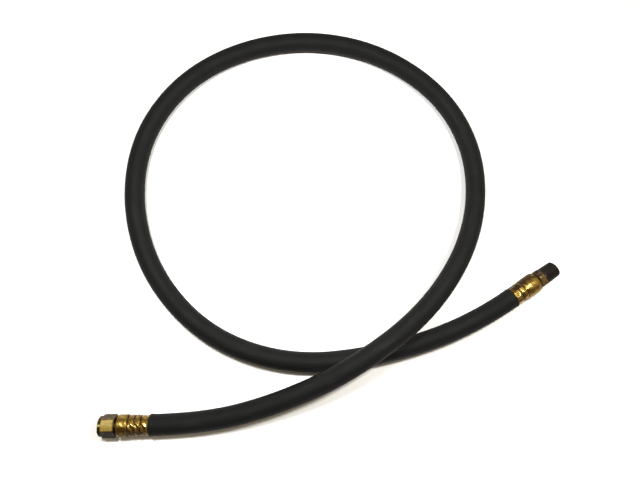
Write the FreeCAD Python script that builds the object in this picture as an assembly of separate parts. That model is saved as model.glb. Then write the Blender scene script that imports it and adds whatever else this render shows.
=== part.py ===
"""Braid-reinforced rubber supply hose, 10 mm bore, about 1.6 m long.

A crimped brass ferrule holds a barbed brass stem in each end.  One stem carries a
free-turning hexagon nut with a 3/8 inch female thread, the other is a solid 3/8 inch
tapered male end.  The hose lies on a flat surface at z = 0 in one loose loop and
crosses over itself.  Millimetres, +Z up, origin on the surface midway between the
two end fittings.
"""
import FreeCAD, Part
import math
import os
from FreeCAD import Vector

# ---------------------------------------------------------------- driving sizes
# Hose wall, from the bore outwards
HOSE_BORE = 10.0
INNER_TUBE_WALL = 1.95
BRAID_WALL = 1.05
COVER_WALL = 2.0

# Cover squeezed out into a soft lip just behind each ferrule
LIP_RISE = 0.35
LIP_LENGTH = 6.5
LIP_ROUND = 0.65

# Brass ferrule as the crimping dies leave it, alike on both ends
FERRULE_LENGTH = 29.8
FERRULE_WALL = 0.9
FERRULE_END_WALL = 1.6
FERRULE_EDGE = 0.4
GROOVE_FIRST = 7.0
GROOVE_PITCH = 5.9
GROOVE_WIDTH = 2.5
GROOVE_FLOOR = 0.7
GROOVE_DEPTH = 0.8
DIE_JAWS = 10
DIE_BITE = 0.35

# Swivel end: ridges that step up to a straight front band
SWIVEL_GROOVES = 3
SWIVEL_TAIL_OD = 18.7
SWIVEL_RIDGE_OD = 19.5
BAND_OD = 20.7

# Male end: the dies closed further back, so the front is left as a long barrel
MALE_GROOVES = 2
MALE_TAIL_OD = 19.8
MALE_RIDGE_OD = 20.1
BARREL_OD = 21.2
BARREL_FRONT_OD = 19.6
BARREL_RISE = 5.5
BARREL_NOSE = 3.7
BARREL_EDGE = 1.0

# Barbed stem, the same on both ends
STEM_BORE = 7.6
STEM_VALLEY_OD = 9.6
STEM_BARB_OD = 10.5
STEM_TAIL = 1.3
STEM_LEAD = 1.3
BARB_FACE = 0.5
LOCK_GROOVE_OD = 9.6
NECK_OD = 10.6

# Swivel nut: 3/4 inch hexagon, 3/8 inch straight pipe thread bored to its minor size
NUT_FLATS = 19.05
NUT_CORNERS = 21.8
NUT_LENGTH = 15.6
NUT_GAP = 1.1
NUT_BACK_OD = 18.3
NUT_BACK_CHAMFER = 0.9
NUT_COLLAR_OD = 18.9
NUT_COLLAR_LENGTH = 2.8
NUT_CHAMFER = 0.8
NUT_BACK_WALL = 2.8
NUT_RELIEF_OD = 16.1
NUT_RELIEF_LENGTH = 4.0
NUT_THREAD_MINOR = 15.4
NUT_MOUTH_CHAMFER = 0.8
NUT_CLOCK = 10.0
SWIVEL_CLEARANCE = 0.1
SWIVEL_END_PLAY = 0.3

# Seat that the nut draws into the mating fitting
SEAT_FLANGE_OD = 14.4
SEAT_FLANGE_THICK = 1.3
SEAT_CONE_LENGTH = 2.2
SEAT_TIP_OD = 11.0

# Male end: 11/16 inch hexagon and 3/8 inch pipe thread, 1 in 16 on the diameter
MALE_NECK = 1.9
MALE_FLATS = 17.46
MALE_CORNERS = 19.6
MALE_HEX_LENGTH = 6.1
MALE_HEX_CHAMFER = 0.9
MALE_CLOCK = 19.0
THREAD_LENGTH = 16.9
THREAD_TIP_OD = 16.3
THREAD_TAPER = 1.0 / 16.0
THREAD_TIP_CHAMFER = 0.7

# Centre line of the hose, from the swivel end to the male end, on the table
ROUTE = [
    (-179.7, -72.8, 10.5),
    (-130.9, -71.9, 10.5),
    (-63, -54.8, 19.1),
    (10.2, -22.2, 33.1),
    (88.4, 34.9, 33.1),
    (139.1, 112.6, 20.2),
    (149.1, 197.5, 11.4),
    (117.7, 269.3, 10),
    (51.3, 318.8, 10),
    (-27.3, 335.8, 10),
    (-104.6, 321.5, 10),
    (-167.5, 282, 10),
    (-207.2, 218.8, 10),
    (-213.1, 143, 10),
    (-187.3, 67.9, 10),
    (-129.8, 8.7, 10),
    (-50.2, -18.2, 10),
    (37.7, -10.4, 10),
    (132.5, 19.6, 10.9),
    (177.4, 48.9, 10.9),
]
BEND_SHARE = 0.45

# ---------------------------------------------------------------- derived sizes
BORE_R = HOSE_BORE / 2
TUBE_R = BORE_R + INNER_TUBE_WALL
BRAID_R = TUBE_R + BRAID_WALL
HOSE_R = BRAID_R + COVER_WALL
WALL_RADII = [BORE_R, TUBE_R, BRAID_R, HOSE_R]
HOSE_STOP = FERRULE_LENGTH - FERRULE_END_WALL
NUT_BACK = FERRULE_LENGTH + NUT_GAP
NUT_MOUTH = NUT_BACK + NUT_LENGTH
SEAT_BACK = NUT_BACK + NUT_BACK_WALL + SWIVEL_END_PLAY
SEAT_FRONT = SEAT_BACK + SEAT_FLANGE_THICK
HEX_BACK = FERRULE_LENGTH + MALE_NECK
HEX_FRONT = HEX_BACK + MALE_HEX_LENGTH
MALE_FACE = HEX_FRONT + THREAD_LENGTH


# ---------------------------------------------------------------- outlines
# An outline is a list of (station, radius) pairs along a fitting's own axis.
# Station 0 is the ferrule's hose-side edge, and stations rise towards the free end.
def radius_at(outline, station):
    """Radius of an outline at a station, straight between its points."""
    for (s0, r0), (s1, r1) in zip(outline, outline[1:]):
        if s0 <= station <= s1 and s1 > s0:
            return r0 + (r1 - r0) * (station - s0) / (s1 - s0)
    return outline[0][1] if station < outline[0][0] else outline[-1][1]


def grooves(count):
    """Middle of each crimp groove."""
    return [GROOVE_FIRST + i * GROOVE_PITCH for i in range(count)]


def lands(count, tail, ridge, front):
    """Outside radius of the tail, of each ridge between two grooves, then of what follows them."""
    step = (front - ridge) / (count - 1)
    return [tail / 2] + [(ridge + step * i) / 2 for i in range(count)]


def swivel_lands():
    """Lands of the swivel end, stepping up to the band."""
    return lands(SWIVEL_GROOVES, SWIVEL_TAIL_OD, SWIVEL_RIDGE_OD, BAND_OD)


def male_lands():
    """Lands of the male end, level as far as the barrel."""
    return lands(MALE_GROOVES, MALE_TAIL_OD, MALE_RIDGE_OD, MALE_RIDGE_OD)


def crimped_tail(levels):
    """Outside from the hose-side edge to the far flank of the last groove."""
    points = [(0.0, levels[0] - FERRULE_EDGE), (FERRULE_EDGE, levels[0])]
    for groove, before, after in zip(grooves(len(levels) - 1), levels, levels[1:]):
        floor = before - GROOVE_DEPTH
        points += [
            (groove - GROOVE_WIDTH / 2, before),
            (groove - GROOVE_FLOOR / 2, floor),
            (groove + GROOVE_FLOOR / 2, floor),
            (groove + GROOVE_WIDTH / 2, after),
        ]
    return points


def swivel_ferrule_outside():
    """Three grooves and a straight band with a rolled front edge."""
    band = BAND_OD / 2
    return crimped_tail(swivel_lands()) + [
        (FERRULE_LENGTH - 3 * FERRULE_EDGE, band),
        (FERRULE_LENGTH - FERRULE_EDGE, band - FERRULE_EDGE),
        (FERRULE_LENGTH, band - 3 * FERRULE_EDGE),
    ]


def male_ferrule_outside():
    """Two grooves and a long barrel that closes towards the hexagon."""
    tail = crimped_tail(male_lands())
    crest = BARREL_OD / 2
    front = BARREL_FRONT_OD / 2
    return tail + [
        (tail[-1][0] + BARREL_RISE, crest),
        (FERRULE_LENGTH - BARREL_NOSE, crest),
        (FERRULE_LENGTH - BARREL_EDGE, (crest + front) / 2),
        (FERRULE_LENGTH, front),
    ]


def ferrule_inside(outside):
    """The same crimp on the inside, one wall in, as far as the hose goes."""
    inside = [(0.0, outside[1][1] - FERRULE_WALL)]
    inside += [(s, r - FERRULE_WALL) for s, r in outside if FERRULE_EDGE < s < HOSE_STOP]
    return inside + [(HOSE_STOP, radius_at(outside, HOSE_STOP) - FERRULE_WALL)]


def shank_outside():
    """Barbed shank, alike on both ends: a barb, then a valley for each groove, then the lock groove."""
    barb = STEM_BARB_OD / 2
    valley = STEM_VALLEY_OD / 2
    points = [(STEM_TAIL, valley - STEM_LEAD / 3), (STEM_TAIL + STEM_LEAD, valley)]
    for groove in grooves(SWIVEL_GROOVES):
        points += [
            (groove - GROOVE_WIDTH / 2 - BARB_FACE, barb),
            (groove - GROOVE_WIDTH / 2, valley),
            (groove + GROOVE_WIDTH / 2, valley),
        ]
    points += [
        (HOSE_STOP - BARB_FACE, barb),
        (HOSE_STOP, barb),
        (HOSE_STOP, LOCK_GROOVE_OD / 2),
        (FERRULE_LENGTH, LOCK_GROOVE_OD / 2),
        (FERRULE_LENGTH, NECK_OD / 2),
    ]
    return points


def hose_bore_outline():
    """Bore of the hose end: free as far as the stem's lead, then pressed onto the shank."""
    shank = [(s, r) for s, r in shank_outside() if s > STEM_TAIL and s <= HOSE_STOP]
    lead = STEM_TAIL + STEM_LEAD
    return [(-LIP_LENGTH, BORE_R), (lead, BORE_R)] + shank[1:-1]


def layer_outline(free_radius, ferrule):
    """A surface inside the hose wall, at the same share of the squeezed wall all the way in."""
    share = (free_radius - BORE_R) / (HOSE_R - BORE_R)
    bore = hose_bore_outline()
    skin = [(-LIP_LENGTH, HOSE_R)] + ferrule_inside(ferrule)
    stations = sorted({s for s, r in bore + skin})
    outline = []
    for station in stations:
        low = radius_at(bore, station)
        high = radius_at(skin, station)
        outline.append((station, low + share * (high - low)))
    return outline


def cover_outline(ferrule):
    """Outside of the cover: free hose, the lip, and the squeezed part inside the ferrule."""
    lip = [
        (-LIP_LENGTH, HOSE_R),
        (-LIP_LENGTH / 2, HOSE_R + LIP_RISE / 2),
        (-2 * LIP_ROUND, HOSE_R + LIP_RISE),
        (-LIP_ROUND, HOSE_R + LIP_RISE),
        (0.0, HOSE_R + LIP_RISE - LIP_ROUND),
    ]
    return lip + ferrule_inside(ferrule)


def wall_outlines(ferrule):
    """The four surfaces of the hose wall in one ferrule, from the bore outwards."""
    between = [layer_outline(TUBE_R, ferrule), layer_outline(BRAID_R, ferrule)]
    return [hose_bore_outline()] + between + [cover_outline(ferrule)]


# ---------------------------------------------------------------- solids
def turned(outer, inner):
    """Solid of revolution about Z between two outlines."""
    loop = [Vector(r, 0, s) for s, r in outer]
    loop += [Vector(r, 0, s) for s, r in reversed(inner)]
    face = Part.Face(Part.makePolygon(loop + loop[:1]))
    return face.revolve(Vector(0, 0, 0), Vector(0, 0, 1), 360)


def bar(sides, flats, start, end, clock):
    """Straight prism of a regular polygon about Z, its first flat turned by clock degrees."""
    corner = flats / 2 / math.cos(math.pi / sides)
    ring = []
    for i in range(sides):
        angle = math.radians(clock) + math.pi / sides * (2 * i + 1)
        ring.append(Vector(corner * math.cos(angle), corner * math.sin(angle), start))
    face = Part.Face(Part.makePolygon(ring + ring[:1]))
    return face.extrude(Vector(0, 0, end - start))


def make_ferrule(outside, levels):
    """Crimped sleeve whose front lip is closed into the stem's lock groove."""
    lip = [(HOSE_STOP, LOCK_GROOVE_OD / 2), (FERRULE_LENGTH, LOCK_GROOVE_OD / 2)]
    sleeve = turned(outside, ferrule_inside(outside) + lip)
    edges = [0.0] + grooves(len(levels) - 1)
    jaws = []
    for land, start, end in zip(levels, edges, edges[1:]):
        jaws.append(bar(DIE_JAWS, 2 * (land - DIE_BITE), start, end, 0))
    widest = max(radius for station, radius in outside)
    front = Part.makeCylinder(widest, FERRULE_LENGTH - edges[-1], Vector(0, 0, edges[-1]))
    return sleeve.common(front.multiFuse(jaws))


def make_swivel_stem():
    """Barbed stem with the neck that the nut turns on and the coned seat in front of it."""
    outer = shank_outside() + [
        (SEAT_BACK, NECK_OD / 2),
        (SEAT_BACK, SEAT_FLANGE_OD / 2),
        (SEAT_FRONT, SEAT_FLANGE_OD / 2),
        (SEAT_FRONT + SEAT_CONE_LENGTH, SEAT_TIP_OD / 2),
    ]
    bore = STEM_BORE / 2
    return turned(outer, [(STEM_TAIL, bore), (SEAT_FRONT + SEAT_CONE_LENGTH, bore)])


def make_swivel_nut():
    """Hexagon nut turned down to a round collar at its mouth, with a back wall that the seat pulls on."""
    corner = NUT_CORNERS / 2
    collar = NUT_COLLAR_OD / 2
    hexagon_end = NUT_MOUTH - NUT_COLLAR_LENGTH
    outer = [
        (NUT_BACK, NUT_BACK_OD / 2),
        (NUT_BACK + NUT_BACK_CHAMFER, corner),
        (hexagon_end - NUT_CHAMFER, corner),
        (hexagon_end, collar),
        (NUT_MOUTH - NUT_CHAMFER / 2, collar),
        (NUT_MOUTH, collar - NUT_CHAMFER / 2),
    ]
    hinge = NECK_OD / 2 + SWIVEL_CLEARANCE
    relief = NUT_RELIEF_OD / 2
    minor = NUT_THREAD_MINOR / 2
    back_wall = NUT_BACK + NUT_BACK_WALL
    thread_start = back_wall + NUT_RELIEF_LENGTH
    inner = [
        (NUT_BACK, hinge),
        (back_wall, hinge),
        (back_wall, relief),
        (thread_start, relief),
        (thread_start, minor),
        (NUT_MOUTH - NUT_MOUTH_CHAMFER, minor),
        (NUT_MOUTH, minor + NUT_MOUTH_CHAMFER),
    ]
    return turned(outer, inner).common(bar(6, NUT_FLATS, NUT_BACK, NUT_MOUTH, NUT_CLOCK))


def make_male_stem():
    """Barbed stem, hexagon and tapered male thread in one piece."""
    corner = MALE_CORNERS / 2
    root = THREAD_TIP_OD / 2 + THREAD_LENGTH * THREAD_TAPER / 2
    hexagon = turned(
        [
            (HEX_BACK, corner - MALE_HEX_CHAMFER / 2),
            (HEX_BACK + MALE_HEX_CHAMFER / 2, corner),
            (HEX_FRONT - MALE_HEX_CHAMFER, corner),
            (HEX_FRONT, corner - 1.5 * MALE_HEX_CHAMFER),
        ],
        [(HEX_BACK, STEM_BORE / 2), (HEX_FRONT, STEM_BORE / 2)],
    ).common(bar(6, MALE_FLATS, HEX_BACK, HEX_FRONT, MALE_CLOCK))
    shank = turned(
        shank_outside() + [(HEX_BACK, NECK_OD / 2)],
        [(STEM_TAIL, STEM_BORE / 2), (HEX_BACK, STEM_BORE / 2)],
    )
    tip = THREAD_TIP_OD / 2 - THREAD_TIP_CHAMFER
    chamfer_start = MALE_FACE - THREAD_TIP_CHAMFER
    thread = turned(
        [
            (HEX_FRONT, root),
            (chamfer_start, THREAD_TIP_OD / 2 + THREAD_TIP_CHAMFER * THREAD_TAPER / 2),
            (MALE_FACE, tip),
        ],
        [(HEX_FRONT, STEM_BORE / 2), (MALE_FACE, STEM_BORE / 2)],
    )
    return shank.multiFuse([hexagon, thread]).removeSplitter()


# ---------------------------------------------------------------- places
def end_placement(end_point, next_point):
    """Places a fitting's own axis on the hose's end, pointing away from the hose, X up."""
    outward = (end_point - next_point).normalize()
    up = Vector(0, 0, 1)
    side = outward.cross(up)
    return FreeCAD.Placement(end_point, FreeCAD.Rotation(up, side, outward, "ZXY"))


def hose_path(points, lead):
    """Straight runs joined by tangent arcs, starting and ending a lead inside the end points."""
    first = points[0] + (points[1] - points[0]).normalize() * lead
    last = points[-1] + (points[-2] - points[-1]).normalize() * lead
    edges = []
    radii = []
    here = first
    for before, corner, after in zip(points, points[1:], points[2:]):
        back = before - corner
        ahead = after - corner
        tangent = BEND_SHARE * min(back.Length, ahead.Length)
        back.normalize()
        ahead.normalize()
        half_turn = (math.pi - back.getAngle(ahead)) / 2
        radius = tangent / math.tan(half_turn)
        bisector = (back + ahead).normalize()
        centre = corner + bisector * (radius / math.cos(half_turn))
        start = corner + back * tangent
        end = corner + ahead * tangent
        edges.append(Part.LineSegment(here, start).toShape())
        edges.append(Part.Arc(start, centre - bisector * radius, end).toShape())
        radii.append(radius)
        here = end
    edges.append(Part.LineSegment(here, last).toShape())
    return Part.Wire(edges), radii


def swept(path, outer_radius, inner_radius):
    """Hollow tube along the path."""
    edge = path.Edges[0]
    start = edge.valueAt(edge.FirstParameter)
    along = edge.tangentAt(edge.FirstParameter)
    rings = []
    for radius in (outer_radius, inner_radius):
        circle = Part.Circle(start, along, radius)
        rings.append(path.makePipe(Part.Face(Part.Wire(circle.toShape()))))
    return rings[0].cut(rings[1])


def make_layer(path, ends, layer):
    """One full-length layer of the hose: the swept run and a squeezed end in each ferrule."""
    squeezed = []
    for place, outlines in ends:
        squeezed.append(placed(turned(outlines[layer + 1], outlines[layer]), place))
    run = swept(path, WALL_RADII[layer + 1], WALL_RADII[layer])
    return run.multiFuse(squeezed).removeSplitter()


def placed(shape, place):
    """The shape moved from its own axis to its place on the hose."""
    shape.Placement = place
    return shape


def report_run(name, path, layer):
    """Prints how true the swept run is to its section and length."""
    outer = WALL_RADII[layer + 1]
    inner = WALL_RADII[layer]
    section = math.pi * (outer ** 2 - inner ** 2)
    share = swept(path, outer, inner).Volume / (section * path.Length)
    print(name, "run volume against section times length", round(share, 5))


def build():
    """Every sub-part by name."""
    points = [Vector(*point) for point in ROUTE]
    swivel = end_placement(points[0], points[1])
    male = end_placement(points[-1], points[-2])
    swivel_crimp = swivel_ferrule_outside()
    male_crimp = male_ferrule_outside()
    swivel_ferrule = make_ferrule(swivel_crimp, swivel_lands())
    male_ferrule = make_ferrule(male_crimp, male_lands())
    parts = {
        "swivel_nut": placed(make_swivel_nut(), swivel),
        "swivel_stem": placed(make_swivel_stem(), swivel),
        "swivel_ferrule": placed(swivel_ferrule, swivel),
        "male_ferrule": placed(male_ferrule, male),
        "male_stem": placed(make_male_stem(), male),
    }
    path, bend_radii = hose_path(points, LIP_LENGTH)
    ends = [(swivel, wall_outlines(swivel_crimp)), (male, wall_outlines(male_crimp))]
    for layer, name in enumerate(["hose_inner_tube", "hose_braid", "hose_cover"]):
        parts[name] = make_layer(path, ends, layer)
        report_run(name, path, layer)
    print("bend radii", [round(radius) for radius in bend_radii])
    print("free length between ferrules", round(path.Length + 2 * LIP_LENGTH, 1))
    return parts


os.makedirs("parts", exist_ok=True)
for node, shape in build().items():
    print(node, shape.ShapeType, len(shape.Solids), shape.isValid(), round(shape.Volume, 1))
    shape.exportStep("parts/" + node + ".step")
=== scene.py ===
"""Braid-reinforced rubber supply hose with crimped brass ends, lying in one loop.

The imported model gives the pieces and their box.  This script finishes every visible surface:
the rubber cover along the hose's own line, the crimped ferrules, the swivel nut with its
inside thread, and the tapered male thread.  Sizes are in millimetres, the scene in metres.
"""
import math

import bpy
from mathutils import Matrix, Vector, noise


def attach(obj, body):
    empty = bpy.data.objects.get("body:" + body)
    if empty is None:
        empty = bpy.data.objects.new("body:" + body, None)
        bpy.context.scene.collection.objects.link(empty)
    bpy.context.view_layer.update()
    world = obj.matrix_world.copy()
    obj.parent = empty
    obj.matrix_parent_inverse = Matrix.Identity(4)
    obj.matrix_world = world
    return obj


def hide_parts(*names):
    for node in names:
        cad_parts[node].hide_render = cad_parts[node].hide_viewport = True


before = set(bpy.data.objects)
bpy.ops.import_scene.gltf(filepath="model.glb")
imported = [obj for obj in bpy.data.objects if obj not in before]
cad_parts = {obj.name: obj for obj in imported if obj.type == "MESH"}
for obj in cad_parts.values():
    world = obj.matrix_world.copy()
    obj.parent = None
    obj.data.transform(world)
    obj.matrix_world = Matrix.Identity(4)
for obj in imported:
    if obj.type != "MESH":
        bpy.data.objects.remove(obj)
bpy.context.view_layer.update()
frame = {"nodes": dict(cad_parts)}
MM = 0.001

# ---------------------------------------------------------------- sizes, in millimetres
# The hose's line from the swivel end to the male end: the model's points, with the four at the crossing
# up to 1.8 mm lower, so that the upper strand all but rests on the lower one
ROUTE = [
    (-179.7, -72.8, 10.5),
    (-130.9, -71.9, 10.5),
    (-63, -54.8, 18.3),
    (10.2, -22.2, 31.3),
    (88.4, 34.9, 31.3),
    (139.1, 112.6, 19.4),
    (149.1, 197.5, 11.4),
    (117.7, 269.3, 10),
    (51.3, 318.8, 10),
    (-27.3, 335.8, 10),
    (-104.6, 321.5, 10),
    (-167.5, 282, 10),
    (-207.2, 218.8, 10),
    (-213.1, 143, 10),
    (-187.3, 67.9, 10),
    (-129.8, 8.7, 10),
    (-50.2, -18.2, 10),
    (37.7, -10.4, 10),
    (132.5, 19.6, 10.9),
    (177.4, 48.9, 10.9),
]
HOSE_R = 10.0
BRAID_R = 8.0
TUBE_R = 6.95
BORE_R = 5.0
# Lip behind each ferrule: (distance from the ferrule's edge, radius)
LIP = [
    (0, 9.6),
    (0.1, 9.87),
    (0.35, 10.12),
    (0.75, 10.27),
    (1.3, 10.32),
    (2.2, 10.27),
    (3.3, 10.16),
    (4.9, 10.05),
    (6.5, HOSE_R),
]
# Beyond this the hose is free and plain
PAST_LIP = 7.0
# The squeezed hose stays this far clear of the ferrule's wall, the barbs and the ferrule's edge
WALL_GAP = 0.04
BARB_GAP = 0.05
EDGE_GAP = 0.05

# Stations run from the ferrule's hose-side edge outwards
FERRULE_LENGTH = 29.8
FERRULE_WALL = 0.9
FERRULE_EDGE = 0.4
# Where the hose ends inside its ferrule
HOSE_STOP = 28.2
# Outside radii of the tail, of each ridge after a groove, and then (station, radius) points to the front
SWIVEL_LANDS = [9.35, 9.75, 10.05, 10.35]
SWIVEL_FRONT = [(28.6, 10.35), (29.4, 9.95), (FERRULE_LENGTH, 9.15)]
MALE_LANDS = [9.9, 10.05, 10.05]
MALE_FRONT = [(19.65, 10.6), (26.1, 10.6), (28.8, 10.2), (FERRULE_LENGTH, 9.8)]
GROOVES = [7.0, 12.9, 18.8]
GROOVE_REACH = 1.25
GROOVE_FLOOR = 0.35
GROOVE_DEPTH = 0.8
DIE_JAWS = 10
DIE_BITE = 0.38
DIE_RIB = 0.3

# Barbed stems
LOCK_R = 4.8
BARB_R = 5.25
VALLEY_R = 4.8
BARB_FACE = 0.5
NECK_R = 5.3
STEM_BORE_R = 3.8
STEM_TAIL = 1.3

# Swivel nut: one of its flats has its middle NUT_CLOCK degrees from the top
NUT_BACK = 30.9
NUT_MOUTH = 46.5
NUT_FLATS = 19.05
NUT_ENVELOPE = [(NUT_BACK, 9.15), (31.8, 10.9), (42.9, 10.9), (43.7, 9.45), (46.1, 9.45), (NUT_MOUTH, 9.05)]
NUT_BACK_WALL = 33.7
NUT_THREAD_START = 37.7
NUT_RELIEF_R = 8.05
NUT_MINOR_R = 7.7
NUT_MOUTH_CHAMFER = 0.8
NUT_THREAD_HEIGHT = 0.45
NUT_CLOCK = 10.0
HINGE_R = 5.4

# Male end, with 18 threads to the inch like the nut
PITCH = 25.4 / 18
HEX_BACK = 31.7
HEX_FRONT = 37.8
MALE_FACE = 54.7
MALE_FLATS = 17.46
MALE_ENVELOPE = [(HEX_BACK, 9.35), (32.15, 9.8), (36.9, 9.8), (HEX_FRONT, 8.45)]
MALE_CLOCK = 19.0
MALE_TIP_R = 8.15
MALE_TAPER = 1 / 32
MALE_THREAD_HEIGHT = 1.0
TIP_CHAMFER = 0.7
BORE_CHAMFER = 0.4

# How far along its axis a corner of an outline is rounded, each side of the corner
CRIMP_SOFT = 0.45
CHAMFER_SOFT = 0.12
# Points round a hexagon are close together this many degrees each side of a corner, and then a step apart
CORNER_SPAN = 5
FLAT_STEP = 4


# ---------------------------------------------------------------- small maths
def smooth(x, low, high):
    """0 below low, 1 above high, and an S curve between."""
    t = min(max((x - low) / (high - low), 0.0), 1.0)
    return t * t * (3 - 2 * t)


def soft_min(a, b, blend):
    """The smaller of two lengths, with the corner between them rounded over blend."""
    near = max(blend - abs(a - b), 0.0) / blend
    return min(a, b) - near * near * blend / 4


def along_outline(outline, station):
    """Radius of a (station, radius) outline, straight between its points."""
    for (s0, r0), (s1, r1) in zip(outline, outline[1:]):
        if s0 <= station <= s1 and s1 > s0:
            return r0 + (r1 - r0) * (station - s0) / (s1 - s0)
    return outline[0][1] if station < outline[0][0] else outline[-1][1]


def softened(outline, station, reach):
    """The outline with its corners rounded, by averaging a little way each side."""
    steps = [-1, -0.5, 0, 0.5, 1]
    return sum(along_outline(outline, station + reach * step) for step in steps) / len(steps)


def hexagon_envelope(outline, station):
    """A hexagon's turned outline, softened but for 0.2 mm at each end."""
    inner = outline[0][0] + 0.2 < station < outline[-1][0] - 0.2
    return softened(outline, station, CHAMFER_SOFT) if inner else along_outline(outline, station)


def spaced(start, end, step):
    """Stations from start to end about a step apart."""
    count = max(1, round(abs(end - start) / step))
    return [start + (end - start) * i / count for i in range(count + 1)]


def grain(angle, station, scale, seed):
    """Smooth noise over a fitting's surface, about -1 to 1."""
    turn = math.radians(angle)
    place = Vector((9 * math.cos(turn), 9 * math.sin(turn), station)) * scale
    return noise.noise(place + Vector((seed, 0, 0)))


def hexagon(angle, flats, clock):
    """Distance from the centre to a hexagon's side at an angle, with a flat at clock degrees."""
    off = (angle - clock + 30) % 60 - 30
    return flats / 2 / math.cos(math.radians(off))


def tooth(angle, station):
    """How deep a thread is cut at a place, from 0 on its crest to 1 in its root."""
    phase = (station / PITCH - angle / 360) % 1.0
    return min(max(abs(phase - 0.5) * 2.5 - 0.15, 0.0), 1.0)


def crimped(lands, front):
    """Outline of a ferrule's outside: tail, grooves, and the front's own points."""
    points = [(0.0, lands[0] - FERRULE_EDGE), (FERRULE_EDGE, lands[0])]
    for groove, before, after in zip(GROOVES, lands, lands[1:]):
        floor = before - GROOVE_DEPTH
        points += [(groove - GROOVE_REACH, before), (groove - GROOVE_FLOOR, floor)]
        points += [(groove + GROOVE_FLOOR, floor), (groove + GROOVE_REACH, after)]
    return points + front


SWIVEL_CRIMP = crimped(SWIVEL_LANDS, SWIVEL_FRONT)
MALE_CRIMP = crimped(MALE_LANDS, MALE_FRONT)


def barbed_shank():
    """Outline of the stem inside the hose: a lead, a barb before each groove, and the lock groove's edge."""
    points = [(STEM_TAIL, 4.37), (2 * STEM_TAIL, VALLEY_R)]
    for groove in GROOVES:
        start = groove - GROOVE_REACH
        points += [(start - BARB_FACE, BARB_R), (start, VALLEY_R), (groove + GROOVE_REACH, VALLEY_R)]
    return points + [(HOSE_STOP - BARB_FACE, BARB_R), (HOSE_STOP, BARB_R)]


SHANK = barbed_shank()


# ---------------------------------------------------------------- places
def fitting_matrix(end, inner):
    """From a fitting's own frame (X up, Z outwards along its axis) to the row frame, in metres."""
    outward = (Vector(end) - Vector(inner)).normalized()
    up = Vector((0, 0, 1))
    side = outward.cross(up)
    turn = Matrix((up, side, outward)).transposed().to_4x4()
    return Matrix.Translation(Vector(end) * MM) @ turn @ Matrix.Scale(MM, 4)


SWIVEL = fitting_matrix(ROUTE[0], ROUTE[1])
MALE = fitting_matrix(ROUTE[-1], ROUTE[-2])


def route_line():
    """Points close together on the smooth line that the route's points control, in metres."""
    curve = bpy.data.curves.new("route", "CURVE")
    curve.dimensions = "3D"
    curve.resolution_u = 24
    spline = curve.splines.new("NURBS")
    spline.points.add(len(ROUTE) - 1)
    for knot, point in zip(spline.points, ROUTE):
        knot.co = (*(x * MM for x in point), 1)
    spline.order_u = 3
    spline.use_endpoint_u = True
    holder = bpy.data.objects.new("route", curve)
    mesh = bpy.data.meshes.new_from_object(holder)
    line = [v.co.copy() for v in mesh.vertices]
    bpy.data.objects.remove(holder)
    bpy.data.curves.remove(curve)
    bpy.data.meshes.remove(mesh)
    return line


# ---------------------------------------------------------------- meshes
def closed_rings(name, rings, material):
    """A closed mesh through rings of points, each joined to the next and the last to the first.

    A point is (row position, position in the piece's own frame, wear_and_light): how bare it is worn, with
    the painted highlights and painted shade of some pieces added in.
    """
    size = len(rings[0])
    points = [p for ring in rings for p in ring]
    faces = []
    for i in range(len(rings)):
        here = i * size
        after = (i + 1) % len(rings) * size
        for j in range(size):
            k = (j + 1) % size
            faces.append((here + j, here + k, after + k, after + j))
    mesh = bpy.data.meshes.new(name)
    mesh.from_pydata([p[0] for p in points], [], faces)
    own = mesh.attributes.new("own", "FLOAT_VECTOR", "POINT")
    own.data.foreach_set("vector", [x for p in points for x in p[1]])
    wear_and_light = mesh.attributes.new("wear_and_light", "FLOAT", "POINT")
    wear_and_light.data.foreach_set("value", [p[2] for p in points])
    mesh.polygons.foreach_set("use_smooth", [True] * len(mesh.polygons))
    mesh.materials.append(material)
    mesh.update()
    piece = bpy.data.objects.new(name, mesh)
    bpy.context.collection.objects.link(piece)
    return piece


def turned_piece(part, place, angles, walls, body, material):
    """A fitting about its own axis, standing for a CAD node.

    walls is a list of (stations, surface) going once round the section, and surface(station, angle)
    gives the radius in millimetres and the wear_and_light value there: wear, with any painted highlight or
    shade added.
    """
    rings = []
    for stations, surface in walls:
        for station in stations:
            ring = []
            for angle in angles:
                radius, wear_and_light = surface(station, angle)
                turn = math.radians(angle)
                own = Vector((radius * math.cos(turn), radius * math.sin(turn), station))
                ring.append((place @ own, own, wear_and_light))
            rings.append(ring)
    piece = closed_rings(part + "_finish", rings, material)
    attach(piece, body)
    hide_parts(part)


def plain(radius, wear_and_light=0.3):
    """A surface of one radius."""
    return lambda station, angle: (radius, wear_and_light)


def even_angles(count):
    """Angles in even steps round a circle."""
    return [360 * i / count for i in range(count)]


def hexagon_angles(clock):
    """Angles round a hexagon, close together at its corners."""
    near = [CORNER_SPAN * t for t in (0, 0.15, 0.35, 0.6, 1.0)]
    steps = [t - 30 for t in near] + spaced(CORNER_SPAN - 30, 30 - CORNER_SPAN, FLAT_STEP)[1:-1]
    steps += [30 - t for t in reversed(near[1:])]
    return [clock + 60 * side + step for side in range(6) for step in steps]


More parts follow.
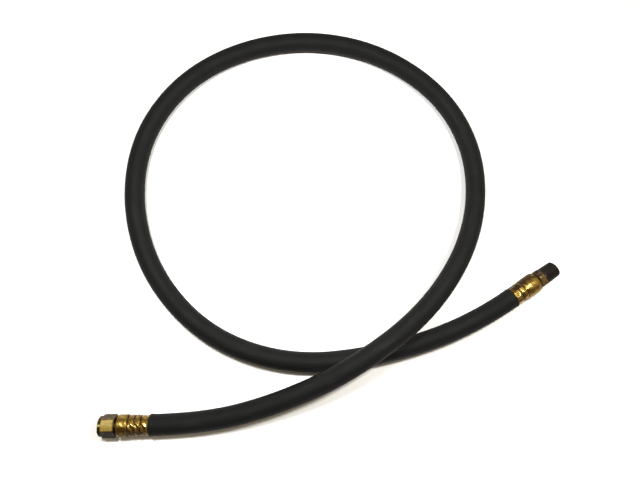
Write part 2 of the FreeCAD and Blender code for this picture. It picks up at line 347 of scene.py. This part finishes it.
# ---------------------------------------------------------------- hose
def hose_frames():
    """Rings from deep in the swivel ferrule to deep in the male one: (centre, crimp, station, distance)."""
    line = route_line()
    reach = [0.0]
    for a, b in zip(line, line[1:]):
        reach.append(reach[-1] + (b - a).length / MM)
    total = reach[-1]

    def at(distance):
        for a, b, ra, rb in zip(line, line[1:], reach, reach[1:]):
            if distance <= rb:
                return a.lerp(b, (distance - ra) / (rb - ra))
        return line[-1]

    def inside(crimp, place, sign, origin):
        stations = sorted({EDGE_GAP} | {s for s, r in crimp if FERRULE_EDGE < s < HOSE_STOP} | {HOSE_STOP})
        return [(place @ Vector((0, 0, s)), crimp, s, origin + sign * s) for s in stations]

    frames = inside(SWIVEL_CRIMP, SWIVEL, -1, 0)[::-1]
    frames += [(at(d), SWIVEL_CRIMP, -d, d) for d, r in LIP]
    frames += [(p, None, -PAST_LIP, d) for p, d in zip(line, reach) if PAST_LIP < d < total - PAST_LIP]
    frames += [(at(total - d), MALE_CRIMP, -d, total - d) for d, r in reversed(LIP)]
    return frames + inside(MALE_CRIMP, MALE, 1, total)


def wall_radius(free, crimp, station):
    """Radius of one surface of the hose wall, squeezed inside a ferrule and free outside it."""
    if station > 0:
        share = (free - BORE_R) / (HOSE_R - BORE_R)
        skin = along_outline(crimp, max(station, FERRULE_EDGE)) - FERRULE_WALL - WALL_GAP
        inner = BARB_R + BARB_GAP
        return inner + share * (skin - inner)
    if free == HOSE_R:
        return along_outline(LIP, -station)
    return free


def hose_layer(part, frames, outer, inner, around, material):
    """One layer of the hose from end to end, as a tube with a wall."""
    centres = [frame[0] for frame in frames]
    axes = []
    for i, centre in enumerate(centres):
        ahead = (centres[min(i + 1, len(centres) - 1)] - centres[max(i - 1, 0)]).normalized()
        up = (Vector((0, 0, 1)) - ahead * ahead.z).normalized()
        axes.append((up, ahead.cross(up)))

    def rings(free):
        for (centre, crimp, station, distance), (up, side) in zip(frames, axes):
            radius = wall_radius(free, crimp, station)
            ring = []
            for angle in even_angles(around):
                turn = math.radians(angle)
                x, y = radius * math.cos(turn), radius * math.sin(turn)
                ring.append((centre + (up * x + side * y) * MM, (distance, x, y), 0.0))
            yield ring

    loop = list(rings(outer)) + list(rings(inner))[::-1]
    piece = closed_rings(part + "_finish", loop, material)
    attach(piece, "hose_assembly")
    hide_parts(part)


def add_hose():
    """Inner tube, textile braid and cover."""
    frames = hose_frames()
    hose_layer("hose_inner_tube", frames, TUBE_R, BORE_R, 24, rubber("liner", 0.012))
    hose_layer("hose_braid", frames, BRAID_R, TUBE_R, 24, braid_yarn())
    hose_layer("hose_cover", frames, HOSE_R, BRAID_R, 48, rubber("cover", 0.0034))


# ---------------------------------------------------------------- fittings
def add_ferrule(part, place, crimp, lands, slant, painted_side_shades, material):
    """Crimped sleeve: die facets on its ridges, ribs left between the jaws, soft hollows and small dents.

    slant is how many degrees the facets turn in a millimetre, and painted_side_shades is how much darker its
    two sides are painted, as shade.
    """
    grooves = GROOVES[: len(lands) - 1]
    facet = 360 / DIE_JAWS

    def outside(station, angle):
        level = sum(station > groove for groove in grooves)
        land = lands[level]
        inner = FERRULE_EDGE < station < FERRULE_LENGTH - FERRULE_EDGE
        radius = softened(crimp, station, CRIMP_SOFT) if inner else along_outline(crimp, station)
        gap = min(abs(station - groove) for groove in grooves)
        warp = angle - slant * station + 4 * grain(angle, station, 0.25, slant)
        off = (warp + facet / 2) % facet - facet / 2
        rib = math.exp(-(((facet / 2 - abs(off)) / 4) ** 2))
        radius += DIE_RIB * rib * (1 - smooth(gap, 0.4, 1.1))
        if level < len(grooves):
            radius = soft_min(radius, (land - DIE_BITE) / math.cos(math.radians(off)), 0.1)
        else:
            swell = smooth(station, grooves[-1] + 1.2, grooves[-1] + 3)
            lobe = smooth(math.cos(math.radians(DIE_JAWS / 2 * warp)), -0.6, 0.9)
            radius -= 0.12 * (1 + grain(angle, station, 0.22, 11)) * swell * lobe
        dent = grain(angle, station, 0.33, slant + 7)
        radius -= 0.14 * smooth(dent, 0.1, 0.6) + 0.06 * grain(angle, station, 0.8, slant + 3)
        # Painted shade: the two sides away from the top are painted darker, each by its own amount
        turned = (angle + 180) % 360 - 180
        low, high = painted_side_shades
        painted_shade = low * smooth(-turned, 0, 40) + high * smooth(turned, 5, 40)
        return radius, 0.9 - 0.8 * smooth(land - radius, 0.3, 0.75) - painted_shade

    def inside(station, angle):
        return along_outline(crimp, station) - FERRULE_WALL, 0.1

    angles = even_angles(144)
    walls = [
        (spaced(0, FERRULE_LENGTH, 0.24), outside),
        ([FERRULE_LENGTH, HOSE_STOP], plain(LOCK_R)),
        (sorted({s for s, r in crimp if FERRULE_EDGE < s < HOSE_STOP} | {HOSE_STOP}, reverse=True), inside),
        ([0.0], plain(lands[0] - FERRULE_WALL, 0.1)),
    ]
    turned_piece(part, place, angles, walls, "hose_assembly", material)


def nut_wear_and_light(station, off):
    """How bare the nut is worn, with painted highlights and painted shade, where off is the angle from the
    middle of the flat that faces up.

    That flat is painted bright as a highlight, growing lighter towards the flat above it, and the flat above
    is a little lighter; its two edges are worn and painted as glints, a line along the collar is a painted
    glint, and the flat below it is painted darker as shade.
    """
    collar = smooth(station, 42.8, 43.8)
    # Painted highlight, with some wear, on the flat that faces up
    lit_top_flat = (1 - smooth(abs(off), 25.5, 28)) * smooth(station, 32.1, 32.5) * (1 - collar)
    # A painted glint along the collar
    line = (1 - smooth(abs(off), 4, 7)) * collar
    # The top flat's two edges, worn and painted as glints
    edge_wear_and_glint = (1 - smooth(abs(abs(off) - 29.5), 0.8, 2.2)) * (1 - collar)
    # Painted shade on the flat below
    shaded_lower_flat = 1 - smooth(abs(off + 60), 28, 34)
    # Even tarnish, with the flat above painted a little lighter and the flat below painted darker as shade
    side = 0.14 + 0.08 * smooth(off, 20, 35) - 0.14 * shaded_lower_flat
    brushed = 0.3 * noise.noise(Vector((off * 0.13, station * 0.06, 3)))
    # The painted highlight grows lighter towards the flat above
    return side + (0.76 + 0.012 * off + brushed) * lit_top_flat + 1.1 * line + 0.25 * edge_wear_and_glint


def add_nut(material):
    """Hexagon swivel nut with its inside thread."""

    def outside(station, angle):
        envelope = hexagon_envelope(NUT_ENVELOPE, station)
        radius = soft_min(hexagon(angle, NUT_FLATS, NUT_CLOCK), envelope, 0.16)
        radius -= 0.02 * grain(angle, station, 0.5, 2) + 0.012 * grain(angle, station, 1.6, 5)
        return radius, nut_wear_and_light(station, (angle - NUT_CLOCK + 180) % 360 - 180)

    def thread(station, angle):
        start = smooth(station, NUT_THREAD_START, NUT_THREAD_START + 0.6)
        depth = NUT_THREAD_HEIGHT * tooth(angle, station) * start
        mouth = max(0.0, station - (NUT_MOUTH - NUT_MOUTH_CHAMFER))
        return max(NUT_MINOR_R + depth, NUT_MINOR_R + mouth), 0.35

    back = spaced(NUT_BACK, 32.8, 0.17)
    flats = spaced(33.2, 42.4, 0.6)
    front = spaced(42.6, NUT_MOUTH, 0.14)
    walls = [
        (back + flats + front, outside),
        (spaced(NUT_MOUTH, NUT_THREAD_START, 0.16), thread),
        ([NUT_THREAD_START, NUT_BACK_WALL], plain(NUT_RELIEF_R, 0.2)),
        ([NUT_BACK_WALL, NUT_BACK], plain(HINGE_R, 0.2)),
    ]
    turned_piece("swivel_nut", SWIVEL, hexagon_angles(NUT_CLOCK), walls, "nut", material)


def add_male_stem(material):
    """Barbed stem, hexagon and tapered thread in one piece."""

    def shank(station, angle):
        return along_outline(SHANK, station), 0.1

    def hexagonal(station, angle):
        envelope = hexagon_envelope(MALE_ENVELOPE, station)
        radius = soft_min(hexagon(angle, MALE_FLATS, MALE_CLOCK), envelope, 0.2)
        radius -= 0.03 * grain(angle, station, 0.5, 12) + 0.015 * grain(angle, station, 1.5, 15)
        off = (angle - MALE_CLOCK + 180) % 360 - 180
        # Painted highlight: the flat that faces up is painted lighter
        lit_top_flat = 1 - smooth(abs(off), 22, 29)
        return radius, 0.35 + 0.35 * lit_top_flat

    def thread(station, angle):
        crest = MALE_TIP_R + (MALE_FACE - station) * MALE_TAPER
        depth = MALE_THREAD_HEIGHT * tooth(angle, station) * smooth(station, HEX_FRONT, HEX_FRONT + 3.5)
        tip = MALE_TIP_R - max(0.0, station - (MALE_FACE - TIP_CHAMFER))
        if station > MALE_FACE - 1.6:
            return soft_min(crest - depth, tip + 0.03, 0.1), -0.15
        return crest - depth, -0.15

    back = spaced(HEX_BACK, 32.4, 0.15)
    flats = spaced(32.8, 36.5, 0.5)
    front = spaced(36.7, HEX_FRONT, 0.13)
    walls = [
        ([s for s, r in SHANK], shank),
        ([HOSE_STOP, FERRULE_LENGTH], plain(LOCK_R, 0.1)),
        ([FERRULE_LENGTH, HEX_BACK], plain(NECK_R, 0.05)),
        (back + flats + front, hexagonal),
        (spaced(HEX_FRONT, MALE_FACE, 0.13), thread),
        ([MALE_FACE], plain(STEM_BORE_R + BORE_CHAMFER, 0.1)),
        ([MALE_FACE - BORE_CHAMFER, STEM_TAIL], plain(STEM_BORE_R, 0.1)),
    ]
    angles = hexagon_angles(MALE_CLOCK)
    turned_piece("male_stem", MALE, angles, walls, "hose_assembly", material)


# ---------------------------------------------------------------- materials
def node(tree, kind, values=(), **settings):
    """A shader node, with its input sockets set to values or linked to other sockets."""
    made = tree.nodes.new("ShaderNode" + kind)
    for key, value in settings.items():
        setattr(made, key, value)
    for socket, value in dict(values).items():
        if isinstance(value, bpy.types.NodeSocket):
            tree.links.new(value, made.inputs[socket])
        else:
            made.inputs[socket].default_value = value
    return made


def new_material(name):
    """A material, its node tree and its surface node."""
    material = bpy.data.materials.new(name)
    material.use_nodes = True
    tree = material.node_tree
    return material, tree, tree.nodes["Principled BSDF"]


def own_place(tree):
    """Place in the piece's own frame, as closed_rings keeps it."""
    return node(tree, "Attribute", attribute_name="own").outputs["Vector"]


def maths(tree, operation, a, b, clamp=False):
    """One step of arithmetic on two values or sockets."""
    return node(tree, "Math", {0: a, 1: b}, operation=operation, use_clamp=clamp).outputs[0]


def texture(tree, vector, scale, detail, rough=0.5):
    """Noise from 0 to 1 about 0.5."""
    values = {"Vector": vector, "Scale": scale, "Detail": detail, "Roughness": rough}
    return node(tree, "TexNoise", values).outputs[0]


def stretched(tree, vector, scale):
    """A place scaled by its own amount along each axis."""
    return node(tree, "Mapping", {"Vector": vector, "Scale": scale}).outputs[0]


def ramp(tree, factor, stops):
    """Colour ramp through (place, colour) stops."""
    made = node(tree, "ValToRGB", {0: factor})
    band = made.color_ramp
    while len(band.elements) < len(stops):
        band.elements.new(0.5)
    for element, (place, colour) in zip(band.elements, stops):
        element.position = place
        element.color = (*colour, 1)
    return made.outputs[0]


def spread(tree, factor, low, high):
    """Map a 0 to 1 factor onto low to high."""
    values = {"Value": factor, "To Min": low, "To Max": high}
    return node(tree, "MapRange", values).outputs[0]


def step(tree, value, low, high):
    """0 below low, 1 above high, and an S curve between, as a node."""
    values = {"Value": value, "From Min": low, "From Max": high}
    return node(tree, "MapRange", values, interpolation_type="SMOOTHSTEP").outputs[0]


def brass(name, seed, stains, coat, grime_and_shade, tarnish, clean, bright_and_highlight):
    """Brass that is bright where it is worn and where a highlight is painted, and brown where it isn't worn
    and where shade is painted, with stains of a strength.

    coat is how far the grime and the painted shade hide the metal, from 0 to 1.
    """
    material, tree, surface = new_material(name)
    own = own_place(tree)
    wear_and_light = node(tree, "Attribute", attribute_name="wear_and_light").outputs["Fac"]
    shifted = node(tree, "VectorMath", {0: own, 1: (seed, seed, 0)}, operation="ADD").outputs[0]
    broad = texture(tree, shifted, 0.28, 3)
    fine = texture(tree, shifted, 1.7, 5, 0.6)
    blotch = maths(tree, "MULTIPLY", maths(tree, "SUBTRACT", broad, 0.5), 1.5 * stains)
    speck = maths(tree, "MULTIPLY", maths(tree, "SUBTRACT", fine, 0.5), 0.7 * stains)
    stain = maths(tree, "ADD", blotch, speck)
    # Wear and painted light together, with stains: painted highlights reach the bright_and_highlight colour,
    # painted shade the grime_and_shade colour
    wear_and_light_level = maths(tree, "ADD", maths(tree, "MULTIPLY", wear_and_light, 0.85), stain, clamp=True)
    colour = ramp(tree, wear_and_light_level, [(0, grime_and_shade), (0.3, tarnish), (0.65, clean), (1, bright_and_highlight)])
    dents = maths(tree, "ADD", texture(tree, shifted, 0.8, 3), maths(tree, "MULTIPLY", fine, 0.4))
    bump = node(tree, "Bump", {"Strength": 0.4, "Distance": 0.0002 * stains, "Height": dents})
    surface.inputs["Specular IOR Level"].default_value = 0.15
    tree.links.new(colour, surface.inputs["Base Color"])
    tree.links.new(spread(tree, wear_and_light_level, 0.55, 0.16), surface.inputs["Roughness"])
    tree.links.new(bump.outputs[0], surface.inputs["Normal"])
    bare = spread(tree, step(tree, wear_and_light_level, 0.0, 0.15), 1.0 - coat, 1.0)
    tree.links.new(bare, surface.inputs["Metallic"])
    return material


def machined_brass():
    """Cleaner brass, for the swivel stem's seat inside the nut."""
    material, tree, surface = new_material("stem_brass_clean")
    place = node(tree, "TexCoord").outputs["Object"]
    stain = texture(tree, place, 400.0, 4)
    colour = ramp(tree, stain, [(0.3, (0.2, 0.11, 0.04)), (0.7, (0.55, 0.36, 0.12))])
    tree.links.new(colour, surface.inputs["Base Color"])
    tree.links.new(spread(tree, stain, 0.3, 0.5), surface.inputs["Roughness"])
    surface.inputs["Metallic"].default_value = 1.0
    return material


def rubber(name, shade):
    """Matt black rubber with pale scuffs that run along the hose."""
    material, tree, surface = new_material(name)
    own = own_place(tree)
    streak = texture(tree, stretched(tree, own, (0.035, 0.32, 0.32)), 1.0, 4, 0.6)
    cloud = texture(tree, own, 0.035, 3)
    pores = texture(tree, own, 1.2, 4, 0.7)
    scuff = ramp(tree, streak, [(0.56, (0, 0, 0)), (0.72, (1, 1, 1))])
    amount = maths(tree, "MULTIPLY", scuff, spread(tree, pores, 0.0, 1.2), clamp=True)
    clouded = maths(tree, "MULTIPLY", cloud, 0.25)
    dusty = maths(tree, "ADD", maths(tree, "MULTIPLY", amount, 0.6), clouded, clamp=True)
    pale = (4.2 * shade, 4.3 * shade, 4.4 * shade)
    colour = ramp(tree, dusty, [(0, (0.85 * shade, 0.9 * shade, 0.9 * shade)), (1, pale)])
    bump = node(tree, "Bump", {"Strength": 0.3, "Distance": 0.0001, "Height": pores})
    tree.links.new(colour, surface.inputs["Base Color"])
    tree.links.new(spread(tree, cloud, 0.75, 0.6), surface.inputs["Roughness"])
    tree.links.new(bump.outputs[0], surface.inputs["Normal"])
    surface.inputs["Specular IOR Level"].default_value = 0.12
    return material


def braid_yarn():
    """Pale textile yarn laid both ways round the inner tube."""
    material, tree, surface = new_material("braid_yarn")
    own = own_place(tree)
    ways = []
    for twist in (0.6, -0.6):
        values = {"Vector": own, "Angle": twist}
        turned = node(tree, "VectorRotate", values, rotation_type="Z_AXIS").outputs[0]
        ways.append(node(tree, "TexWave", {"Vector": turned, "Scale": 1.2}).outputs[0])
    weave = maths(tree, "MAXIMUM", ways[0], ways[1])
    colour = ramp(tree, weave, [(0.2, (0.16, 0.14, 0.11)), (0.9, (0.62, 0.58, 0.5))])
    tree.links.new(colour, surface.inputs["Base Color"])
    surface.inputs["Roughness"].default_value = 0.85
    return material


# ---------------------------------------------------------------- camera, floor and light
CAMERA_EYE = (-37.1, 3.05, 526)
CAMERA_AIM = (-18.65, 107.35, 9.55)
# From here on in metres
LOOP_MIDDLE = (0, 0.1, 0)
FLOOR_WIDTH = 12
LAMP_SIZE = 0.07
LAMP_SIDE = 0.18
LAMP_BACK = 0.16
LAMP_HEIGHT = 0.55


def add_camera():
    """Almost straight down, from over the crossing."""
    eye = Vector(CAMERA_EYE) * MM
    aim = Vector(CAMERA_AIM) * MM
    ahead = (aim - eye).normalized()
    right = ahead.cross(Vector((0, 1, 0))).normalized()
    data = bpy.data.cameras.new("camera")
    data.sensor_width = 36.0
    data.lens = 28.8
    data.clip_start = 0.01
    camera = bpy.data.objects.new("camera", data)
    turn = Matrix((right, right.cross(ahead), -ahead)).transposed().to_4x4()
    camera.matrix_world = Matrix.Translation(eye) @ turn
    bpy.context.collection.objects.link(camera)
    bpy.context.scene.camera = camera


def area_lamp(name, side, watts, colour):
    """A small square lamp over the loop, side metres to the right, that faces the loop's middle."""
    data = bpy.data.lights.new(name, "AREA")
    data.size = LAMP_SIZE
    data.energy = watts
    data.color = colour
    lamp = bpy.data.objects.new(name, data)
    lamp.visible_camera = False
    lamp.location = (side, LAMP_BACK, LAMP_HEIGHT)
    lamp.rotation_euler = (Vector(LOOP_MIDDLE) - lamp.location).to_track_quat("-Z", "Y").to_euler()
    bpy.context.collection.objects.link(lamp)


def seen_white(tree, shader, share):
    """Mix white at a strength of 1 into a shader, for camera, glossy and transmission rays only."""
    path = node(tree, "LightPath").outputs
    seen = maths(tree, "MAXIMUM", path["Is Camera Ray"], path["Is Glossy Ray"])
    seen = maths(tree, "MULTIPLY", maths(tree, "MAXIMUM", seen, path["Is Transmission Ray"]), share)
    white = node(tree, "Emission", {"Color": (1, 1, 1, 1), "Strength": 1.0})
    mixed = node(tree, "MixShader", {0: seen, 1: shader, 2: white.outputs[0]})
    output = next(n for n in tree.nodes if n.type.startswith("OUTPUT"))
    tree.links.new(mixed.outputs[0], output.inputs["Surface"])


def add_floor():
    """Pale floor that takes the object's shadow, and fades to white further off."""
    bpy.ops.mesh.primitive_plane_add(size=FLOOR_WIDTH, location=(0, 0, 0))
    floor = bpy.context.object
    floor.name = "floor"
    material, tree, surface = new_material("floor")
    surface.inputs["Base Color"].default_value = (0.93, 0.93, 0.93, 1)
    surface.inputs["Roughness"].default_value = 0.9
    surface.inputs["Specular IOR Level"].default_value = 0.1
    place = node(tree, "TexCoord").outputs["Object"]
    away = node(tree, "VectorMath", {0: place, 1: LOOP_MIDDLE}, operation="DISTANCE").outputs["Value"]
    seen_white(tree, surface.outputs[0], step(tree, away, 0.3, 0.7))
    floor.data.materials.append(material)


def add_world():
    """Soft light, darker and browner from the front and from low down, where the sky is seen as white."""
    world = bpy.data.worlds.new("world")
    world.use_nodes = True
    tree = world.node_tree
    way = node(tree, "TexCoord").outputs["Generated"]
    parts = node(tree, "SeparateXYZ", {0: way}).outputs
    right = maths(tree, "MULTIPLY", maths(tree, "MAXIMUM", parts["X"], 0.0), 0.5)
    behind = step(tree, maths(tree, "ADD", parts["Y"], right), -0.18, 0.25)
    above = step(tree, parts["Z"], 0.2, 0.8)
    shades = [(0, (0.115, 0.075, 0.036)), (1, (0.8, 0.74, 0.6))]
    glow = ramp(tree, maths(tree, "MULTIPLY", behind, above), shades)
    tree.links.new(glow, tree.nodes["Background"].inputs["Color"])
    low = maths(tree, "SUBTRACT", 1.0, step(tree, parts["Z"], 0.16, 0.26))
    seen_white(tree, tree.nodes["Background"].outputs[0], low)
    bpy.context.scene.world = world


# ---------------------------------------------------------------- all of it
add_camera()
add_hose()
ferrule_brass = brass(
    "ferrule_brass", seed=3, stains=1.0, coat=0,
    grime_and_shade=(0.042, 0.026, 0.011), tarnish=(0.165, 0.097, 0.024),
    clean=(0.3, 0.184, 0.036), bright_and_highlight=(0.42, 0.3, 0.095),
)
# The nut's darkest colour is its painted shade and its brightest is its painted highlight
nut_brass = brass(
    "nut_brass", seed=17, stains=0.4, coat=0.4,
    grime_and_shade=(0.01, 0.007, 0.004), tarnish=(0.11, 0.073, 0.026),
    clean=(0.32, 0.22, 0.047), bright_and_highlight=(0.76, 0.63, 0.25),
)
stem_brass = brass(
    "stem_brass", seed=29, stains=0.7, coat=1,
    grime_and_shade=(0.012, 0.009, 0.007), tarnish=(0.07, 0.045, 0.024),
    clean=(0.36, 0.23, 0.095), bright_and_highlight=(0.5, 0.33, 0.12),
)
# The pair after the slant is how much darker each ferrule's two sides are painted, as shade
add_ferrule("swivel_ferrule", SWIVEL, SWIVEL_CRIMP, SWIVEL_LANDS, 7, (0.7, 0.35), ferrule_brass)
add_ferrule("male_ferrule", MALE, MALE_CRIMP, MALE_LANDS, -1.5, (0.8, 0.35), ferrule_brass)
add_nut(nut_brass)
add_male_stem(stem_brass)
finishes = {
    "nut": nut_brass,
    "ferrule": ferrule_brass,
    "male_stem": stem_brass,
    "swivel_stem": machined_brass(),
}
for name, part in frame["nodes"].items():
    found = [finish for key, finish in finishes.items() if key in name]
    part.data.materials.clear()
    part.data.materials.append(found[0] if found else bpy.data.materials["cover"])
add_floor()
area_lamp("left_lamp", -LAMP_SIDE, 3.4, (0.98, 0.99, 1.0))
area_lamp("right_lamp", LAMP_SIDE, 3.2, (1.0, 0.98, 0.95))
add_world()
bpy.context.scene.view_settings.view_transform = "Standard"
